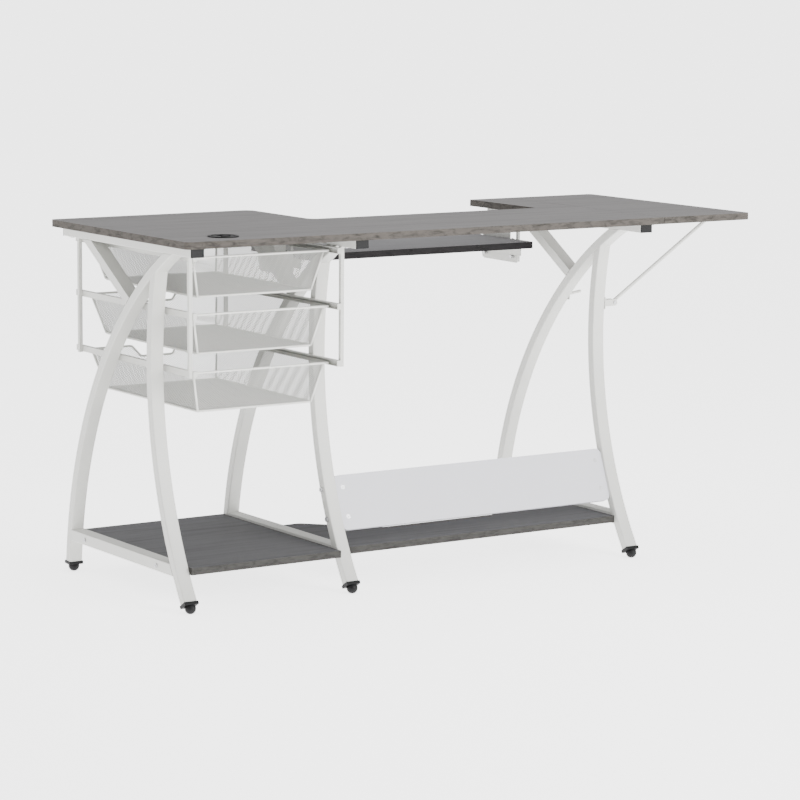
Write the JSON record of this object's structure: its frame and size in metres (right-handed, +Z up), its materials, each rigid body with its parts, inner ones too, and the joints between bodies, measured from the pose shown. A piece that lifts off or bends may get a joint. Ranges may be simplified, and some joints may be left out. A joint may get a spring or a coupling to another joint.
{
  "type": "sewing table",
  "caption": "Sewing table on curved tube legs with a fold-down leaf, lowering machine platform, mesh drawers, low shelves and a privacy panel.",
  "frame": {"origin": "on the floor under the middle of the table's outline", "axes": "+X along the length towards the folding leaf, +Y towards the sitter, +Z up"},
  "size_m": [1.441, 0.597, 0.7656],
  "materials": {
    "laminate_top": "matt grey laminate with a faint grain and a grey-brown edge band",
    "laminate_platform": "matt grey laminate with a dark edge",
    "laminate_shelf": "matt dark grey laminate",
    "panel_white": "smooth cool-white melamine board",
    "powder_coat": "satin off-white powder coat",
    "basket_mesh": "white-coated expanded steel mesh",
    "basket_wire": "white-coated steel wire",
    "black_plastic": "moulded black plastic",
    "zinc_steel": "zinc-plated steel"
  },
  "bodies": {
    "frame": {"main_top": "laminate_top", "left_lower_shelf": "laminate_shelf", "centre_lower_shelf": "laminate_shelf", "back_panel": "panel_white", "foot_plugs": "black_plastic", "rail_end_caps": "black_plastic", "rail_screws": "zinc_steel", "shelf_screws": "zinc_steel", "panel_bolts": "zinc_steel", "panel_barrel_nuts": "zinc_steel", "left_drawer_frame": "powder_coat", "right_drawer_frame": "powder_coat", "under_top_screws": "zinc_steel", "left_hanger": "powder_coat", "right_hanger": "powder_coat", "support_pegs": "zinc_steel", "hinge_fixed_plates": "zinc_steel", "hinge_pins": "zinc_steel", "stay_bracket": "powder_coat", "stay_pin": "zinc_steel", "stay_bracket_screws": "zinc_steel", "far_peg": "powder_coat", "grommet_ring": "black_plastic", "left_top_rail": "powder_coat", "left_arc_leg": "powder_coat", "left_flared_leg": "powder_coat", "left_brace": "powder_coat", "left_lower_rail": "powder_coat", "middle_top_rail": "powder_coat", "middle_arc_leg": "powder_coat", "middle_flared_leg": "powder_coat", "middle_brace": "powder_coat", "middle_lower_rail": "powder_coat", "right_top_rail": "powder_coat", "right_arc_leg": "powder_coat", "right_flared_leg": "powder_coat", "right_brace": "powder_coat", "right_lower_rail": "powder_coat"},
    "leaf": {"fold_down_leaf": "laminate_top", "hinge_leaf_plates": "zinc_steel", "hinge_leaf_screws": "zinc_steel", "stay_catch": "powder_coat"},
    "stay": {"stay_rod": "powder_coat"},
    "platform": {"drop_platform": "laminate_platform", "platform_brackets": "powder_coat", "platform_screws": "zinc_steel"},
    "top_drawer": {"top_basket": "basket_mesh", "top_basket_wire": "basket_wire"},
    "middle_drawer": {"middle_basket": "basket_mesh", "middle_basket_wire": "basket_wire"},
    "bottom_drawer": {"bottom_basket": "basket_mesh", "bottom_basket_wire": "basket_wire"},
    "grommet_cover": {"grommet_lid": "black_plastic"},
    "left_front_foot": {"left_front_glide": "black_plastic"},
    "left_rear_foot": {"left_rear_glide": "black_plastic"},
    "middle_front_foot": {"middle_front_glide": "black_plastic"},
    "middle_rear_foot": {"middle_rear_glide": "black_plastic"},
    "right_front_foot": {"right_front_glide": "black_plastic"},
    "right_rear_foot": {"right_rear_glide": "black_plastic"}
  },
  "joints": [
    {"name": "leaf_fold", "type": "hinge", "parent": "frame", "child": "leaf", "pos_m": [0.478, 0, 0.744], "axis": [0, 1, 0], "range_deg": [0, 86]},
    {"name": "stay_swing", "type": "hinge", "parent": "frame", "child": "stay", "pos_m": [0.4775, -0.1135, 0.5565], "axis": [0, 1, 0], "range_deg": [0, 129]},
    {"name": "platform_lift", "type": "slide", "parent": "frame", "child": "platform", "axis": [0, 0, 1], "range_m": [0, 0.077]},
    {"name": "top_drawer_slide", "type": "slide", "parent": "frame", "child": "top_drawer", "axis": [0, 1, 0], "range_m": [0, 0.3]},
    {"name": "middle_drawer_slide", "type": "slide", "parent": "frame", "child": "middle_drawer", "axis": [0, 1, 0], "range_m": [0, 0.3]},
    {"name": "bottom_drawer_slide", "type": "slide", "parent": "frame", "child": "bottom_drawer", "axis": [0, 1, 0], "range_m": [0, 0.3]},
    {"name": "grommet_turn", "type": "hinge", "parent": "frame", "child": "grommet_cover", "pos_m": [-0.5955, -0.2255, 0.762], "axis": [0, 0, 1], "continuous": true},
    {"name": "left_front_foot_level", "type": "slide", "parent": "frame", "child": "left_front_foot", "axis": [0, 0.0758, -0.9971], "range_m": [0, 0.008]},
    {"name": "left_rear_foot_level", "type": "slide", "parent": "frame", "child": "left_rear_foot", "axis": [0, -0.5365, -0.8439], "range_m": [0, 0.008]},
    {"name": "middle_front_foot_level", "type": "slide", "parent": "frame", "child": "middle_front_foot", "axis": [0, 0.0758, -0.9971], "range_m": [0, 0.008]},
    {"name": "middle_rear_foot_level", "type": "slide", "parent": "frame", "child": "middle_rear_foot", "axis": [0, -0.5365, -0.8439], "range_m": [0, 0.008]},
    {"name": "right_front_foot_level", "type": "slide", "parent": "frame", "child": "right_front_foot", "axis": [0, 0.0758, -0.9971], "range_m": [0, 0.008]},
    {"name": "right_rear_foot_level", "type": "slide", "parent": "frame", "child": "right_rear_foot", "axis": [0, -0.5365, -0.8439], "range_m": [0, 0.008]}
  ],
  "couplings": [
    {"joint": "stay_swing", "follows": "leaf_fold", "ratio": 1.5}
  ]
}
